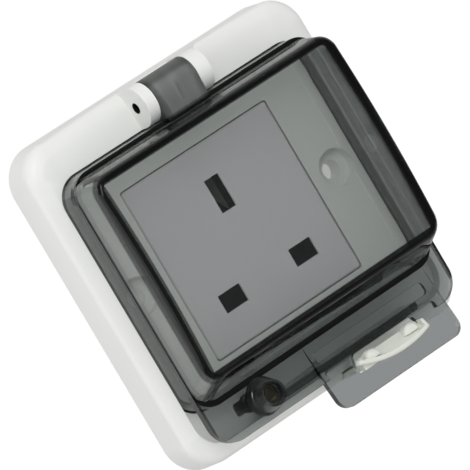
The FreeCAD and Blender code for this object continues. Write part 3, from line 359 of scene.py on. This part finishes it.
# The polished faces keep a faint ripple where the melt flowed.
RIPPLE, RIPPLE_HEIGHT = 6 * MM, 0.01 * MM
ripple = add(smoke, "ShaderNodeTexNoise", {"Scale": 1 / RIPPLE, "Detail": 1.0},
             {"Vector": place})
flow_marks = add(smoke, "ShaderNodeBump", {"Distance": RIPPLE_HEIGHT},
                 {"Height": ripple.outputs["Fac"]})

# Painted shade: the lid's colour is painted darker where light has more of the tinted plastic to
# cross. The rim, as deep as the window's wall, is painted near black; the side skirts are
# painted darker up to the corner where they join the flange; the boss, a thick ring, is painted
# darker; and the flange and the apron below the window are painted a little darker. The window's
# right wall is painted a shade darker than its left one.
WINDOW_MIDDLE_Z = 2.95 * MM
RIM_HALF_WIDTH, RIM_HALF_HEIGHT, RIM_EDGE = 34.5 * MM, 24.75 * MM, 0.3 * MM
SKIRT_FROM, SKIRT_TO = 2.7 * MM, 2.9 * MM  # past the rim, sideways

centred = add(smoke, "ShaderNodeVectorMath",
              {"operation": "SUBTRACT", 1: (0, 0, WINDOW_MIDDLE_Z)}, {0: place})
spread = add(smoke, "ShaderNodeVectorMath", {"operation": "ABSOLUTE"},
             {0: centred.outputs["Vector"]})
past = add(smoke, "ShaderNodeVectorMath",
           {"operation": "SUBTRACT", 1: (RIM_HALF_WIDTH, 0, RIM_HALF_HEIGHT)},
           {0: spread.outputs["Vector"]})
past_axes = add(smoke, "ShaderNodeSeparateXYZ", {}, {"Vector": past.outputs["Vector"]})
furthest = add(smoke, "ShaderNodeMath", {"operation": "MAXIMUM"},
               {0: past_axes.outputs["X"], 1: past_axes.outputs["Z"]})
region["band"] = add(smoke, "ShaderNodeMapRange", {"From Min": 0.0, "From Max": RIM_EDGE},
                     {"Value": furthest.outputs["Value"]}).outputs["Result"]
region["skirt"] = add(smoke, "ShaderNodeMapRange",
                      {"From Min": SKIRT_FROM, "From Max": SKIRT_TO},
                      {"Value": past_axes.outputs["X"]}).outputs["Result"]
region["outside"] = add(smoke, "ShaderNodeMath", {"operation": "MAXIMUM"},
                        {0: region["flange"],
                         1: region["below_window"]}).outputs["Value"]
for name, first, second in (("right_wall", "right_side", "window_walls"),
                            ("rim", "band", "front_of_window"),
                            ("skirt_top", "skirt", "up_the_skirt"),
                            ("joint", "skirt_top", "flange")):
    region[name] = add(smoke, "ShaderNodeMath", {"operation": "MULTIPLY"},
                       {0: region[first], 1: region[second]}).outputs["Value"]

# Painted shade on the lid's colour, one region after another.
painted_lid_shade = add(smoke, "ShaderNodeRGB").outputs["Color"]
painted_lid_shade.default_value = (1, 1, 1, 1)
for name, colour in (("outside", "#c9cccd"), ("right_wall", "#85878a"), ("rim", "#3c3e40"),
                     ("joint", "#4c4e50"), ("boss", "#85878a")):
    painted_lid_shade = add(smoke, "ShaderNodeMix", {"data_type": "RGBA", MIX_B: linear(colour)},
                {0: region[name], MIX_A: painted_lid_shade}).outputs[MIX_OUT]

# The tint is in the plastic itself. Lamplight passes each face nearly whole.
TINT_PER_METRE = 228.0
LAMPLIGHT_KEPT = 0.92
clear = add(smoke, "ShaderNodeBsdfPrincipled", {"IOR": 1.586},
            {"Roughness": gloss.outputs["Result"], "Normal": flow_marks.outputs["Normal"],
             "Transmission Weight": passing.outputs["Result"],
             "Base Color": painted_lid_shade})
tint = add(smoke, "ShaderNodeVolumeAbsorption",
           {"Color": linear("#8f9994"), "Density": TINT_PER_METRE})
lamplight = add(smoke, "ShaderNodeBsdfTransparent", {"Color": (*[LAMPLIGHT_KEPT] * 3, 1)})
let_through = add(smoke, "ShaderNodeMixShader", {},
                  {"Fac": add(smoke, "ShaderNodeLightPath").outputs["Is Shadow Ray"],
                   1: clear.outputs["BSDF"], 2: lamplight.outputs["BSDF"]})
add(smoke, "ShaderNodeOutputMaterial", {},
    {"Surface": let_through.outputs["Shader"], "Volume": tint.outputs["Volume"]})
softened("lid", "lid", smoke)

# Lock. A die-cast zinc core with a three-sided end for a key, in the lid's boss. The plating is
# dull nickel, painted dark and a little olive as painted shade deep in the boss, with the faint
# lines of the tool in it.

lock = worked_metal("zinc_die_cast_nickel_plated", "#5d5a4c", 0.36, 0.3, 0.6)
dress(lock, "lock_core")

# Catch. White nylon, moulded, with a springy leaf behind the plate's edge and a dished head
# in front of the pull tab. Nylon lets a little light in, so its thin rim looks soft.

catch = moulding("nylon_injection_moulded_white", "#e2e5dc", 0.38, 0.5, 0.006)
soft = ending_of(catch, "BSDF_PRINCIPLED")
soft.inputs["Subsurface Weight"].default_value = 0.15
soft.inputs["Subsurface Radius"].default_value = (1.0 * MM, 0.9 * MM, 0.7 * MM)
soft.inputs["Subsurface Scale"].default_value = 1.0
softened("lid_catch", "catch", catch)

# Studio. A pale floor far below the object and a pale surround. The camera sees both as plain
# white; glass and polished faces see the mid grey of a studio, and the rest is lit by lamps.

FLOOR_DROP = 0.30
FLOOR_RADIUS = 9.0
FLOOR_SIDES = 64
FLOOR_LIFT = 0.45
SEEN_BY_CAMERA, SEEN_BY_REST = 1.0, 0.71
GLOSS_BEHIND, GLOSS_IN_FRONT = 0.60, 0.12
THROUGH_LID_BEHIND, THROUGH_LID_IN_FRONT = 0.64, 0.42
IN_FRONT, BEHIND = -0.6, 0.6


def pale_glow(owner, depth):
    """The strength of the pale surround, by the kind of ray that sees it. In a glossy face or
    through the lid it is darker in front of the object, where depth is below zero."""
    ray = add(owner, "ShaderNodeLightPath")
    through, mirrored = (
        add(owner, "ShaderNodeMapRange",
            {"From Min": IN_FRONT, "From Max": BEHIND, "To Min": in_front, "To Max": in_slot_shade},
            {"Value": depth})
        for in_front, in_slot_shade in ((THROUGH_LID_IN_FRONT, THROUGH_LID_BEHIND),
                                 (GLOSS_IN_FRONT, GLOSS_BEHIND)))
    in_gloss = add(owner, "ShaderNodeMapRange", {"To Min": SEEN_BY_REST},
                   {"Value": ray.outputs["Is Glossy Ray"],
                    "To Max": mirrored.outputs["Result"]})
    through_lid = add(owner, "ShaderNodeMapRange", {},
                      {"Value": ray.outputs["Is Transmission Ray"],
                       "To Min": in_gloss.outputs["Result"],
                       "To Max": through.outputs["Result"]})
    by_camera = add(owner, "ShaderNodeMapRange", {"To Max": SEEN_BY_CAMERA},
                    {"Value": ray.outputs["Is Camera Ray"],
                     "To Min": through_lid.outputs["Result"]})
    return by_camera.outputs["Result"]


world = bpy.data.worlds.new("studio")
bpy.context.scene.world = world
world.use_nodes = True
world.node_tree.nodes.clear()
towards = add(world, "ShaderNodeSeparateXYZ", {},
              {"Vector": add(world, "ShaderNodeTexCoord").outputs["Generated"]})
sky = add(world, "ShaderNodeBackground", {"Color": (1, 1, 1, 1)},
          {"Strength": pale_glow(world, towards.outputs["Y"])})
add(world, "ShaderNodeOutputWorld", {}, {"Surface": sky.outputs["Background"]})

turn, ring = np.meshgrid(np.linspace(0, 2 * np.pi, FLOOR_SIDES + 1), np.array([0.0, 1.0]),
                         indexing="ij")
spots = np.stack([ring * np.cos(turn) * FLOOR_RADIUS, ring * np.sin(turn) * FLOOR_RADIUS,
                  np.full_like(ring, -FLOOR_DROP)], axis=-1).reshape(-1, 3)
first = np.arange(FLOOR_SIDES) * 2
sheet = bpy.data.meshes.new("floor")
sheet.from_pydata(spots.tolist(), [], np.stack([first, first + 1, first + 3], 1).tolist())
floor = bpy.data.objects.new("floor", sheet)
bpy.context.scene.collection.objects.link(floor)
pale = blank("pale_paper")
way = add(pale, "ShaderNodeVectorMath", {"operation": "NORMALIZE"},
          {0: add(pale, "ShaderNodeTexCoord").outputs["Object"]})
spot = add(pale, "ShaderNodeSeparateXYZ", {}, {"Vector": way.outputs["Vector"]})
paper = add(pale, "ShaderNodeEmission", {"Color": (1, 1, 1, 1)},
            {"Strength": pale_glow(pale, spot.outputs["Y"])})
lit = add(pale, "ShaderNodeBsdfDiffuse", {"Color": (0.8, 0.8, 0.8, 1)})
lift = add(pale, "ShaderNodeEmission", {"Strength": FLOOR_LIFT})
lifted = add(pale, "ShaderNodeAddShader", {}, {0: lit.outputs["BSDF"],
                                               1: lift.outputs["Emission"]})
seen = add(pale, "ShaderNodeMixShader", {},
           {"Fac": add(pale, "ShaderNodeLightPath").outputs["Is Camera Ray"],
            1: paper.outputs["Emission"], 2: lifted.outputs["Shader"]})
# Seen from below, the floor isn't in the way.
gone = add(pale, "ShaderNodeBsdfTransparent")
opened = add(pale, "ShaderNodeMixShader", {},
             {"Fac": add(pale, "ShaderNodeNewGeometry").outputs["Backfacing"],
              1: seen.outputs["Shader"], 2: gone.outputs["BSDF"]})
add(pale, "ShaderNodeOutputMaterial", {}, {"Surface": opened.outputs["Shader"]})
sheet.materials.append(pale)

# Lamps. One wide soft panel above the camera and a little to its right, and a weaker one far
# to its left. Each gives its power, its width, and its place; both face the object.

for name, energy, size, spot in (("key_panel", 4.7, 0.6, (-0.35, -1.0, 0.55)),
                                 ("fill_panel", 1.3, 0.8, (-1.0, -0.5, -0.05))):
    lamp = bpy.data.lights.new(name, "AREA")
    lamp.energy = energy
    lamp.size = size
    holder = bpy.data.objects.new(name, lamp)
    bpy.context.scene.collection.objects.link(holder)
    holder.location = spot
    holder.rotation_euler = (-Vector(spot)).to_track_quat("-Z", "Y").to_euler()

# Camera. A long lens to the left of the object and a little above it, rolled as the
# photograph is.

azimuth, elevation, roll = (math.radians(degrees) for degrees in (28.177, 5.433, -30.551))
aim, distance = Vector((-1.83, -7.4, -0.20)) * MM, 1524.7 * MM
ahead = Vector((math.sin(azimuth) * math.cos(elevation),
                math.cos(azimuth) * math.cos(elevation), -math.sin(elevation)))
level = ahead.cross(Vector((0, 0, 1))).normalized()
right = level * math.cos(roll) + level.cross(ahead) * math.sin(roll)
turned = Matrix((right, right.cross(ahead), -ahead)).transposed()
lens = bpy.data.cameras.new("camera")
lens.sensor_width = 36.0
lens.lens = 499.67
lens.clip_end = 30
camera = bpy.data.objects.new("camera", lens)
bpy.context.scene.collection.objects.link(camera)
camera.matrix_world = Matrix.Translation(aim - ahead * distance) @ turned.to_4x4()
bpy.context.scene.camera = camera
bpy.context.scene.view_settings.view_transform = "Standard"
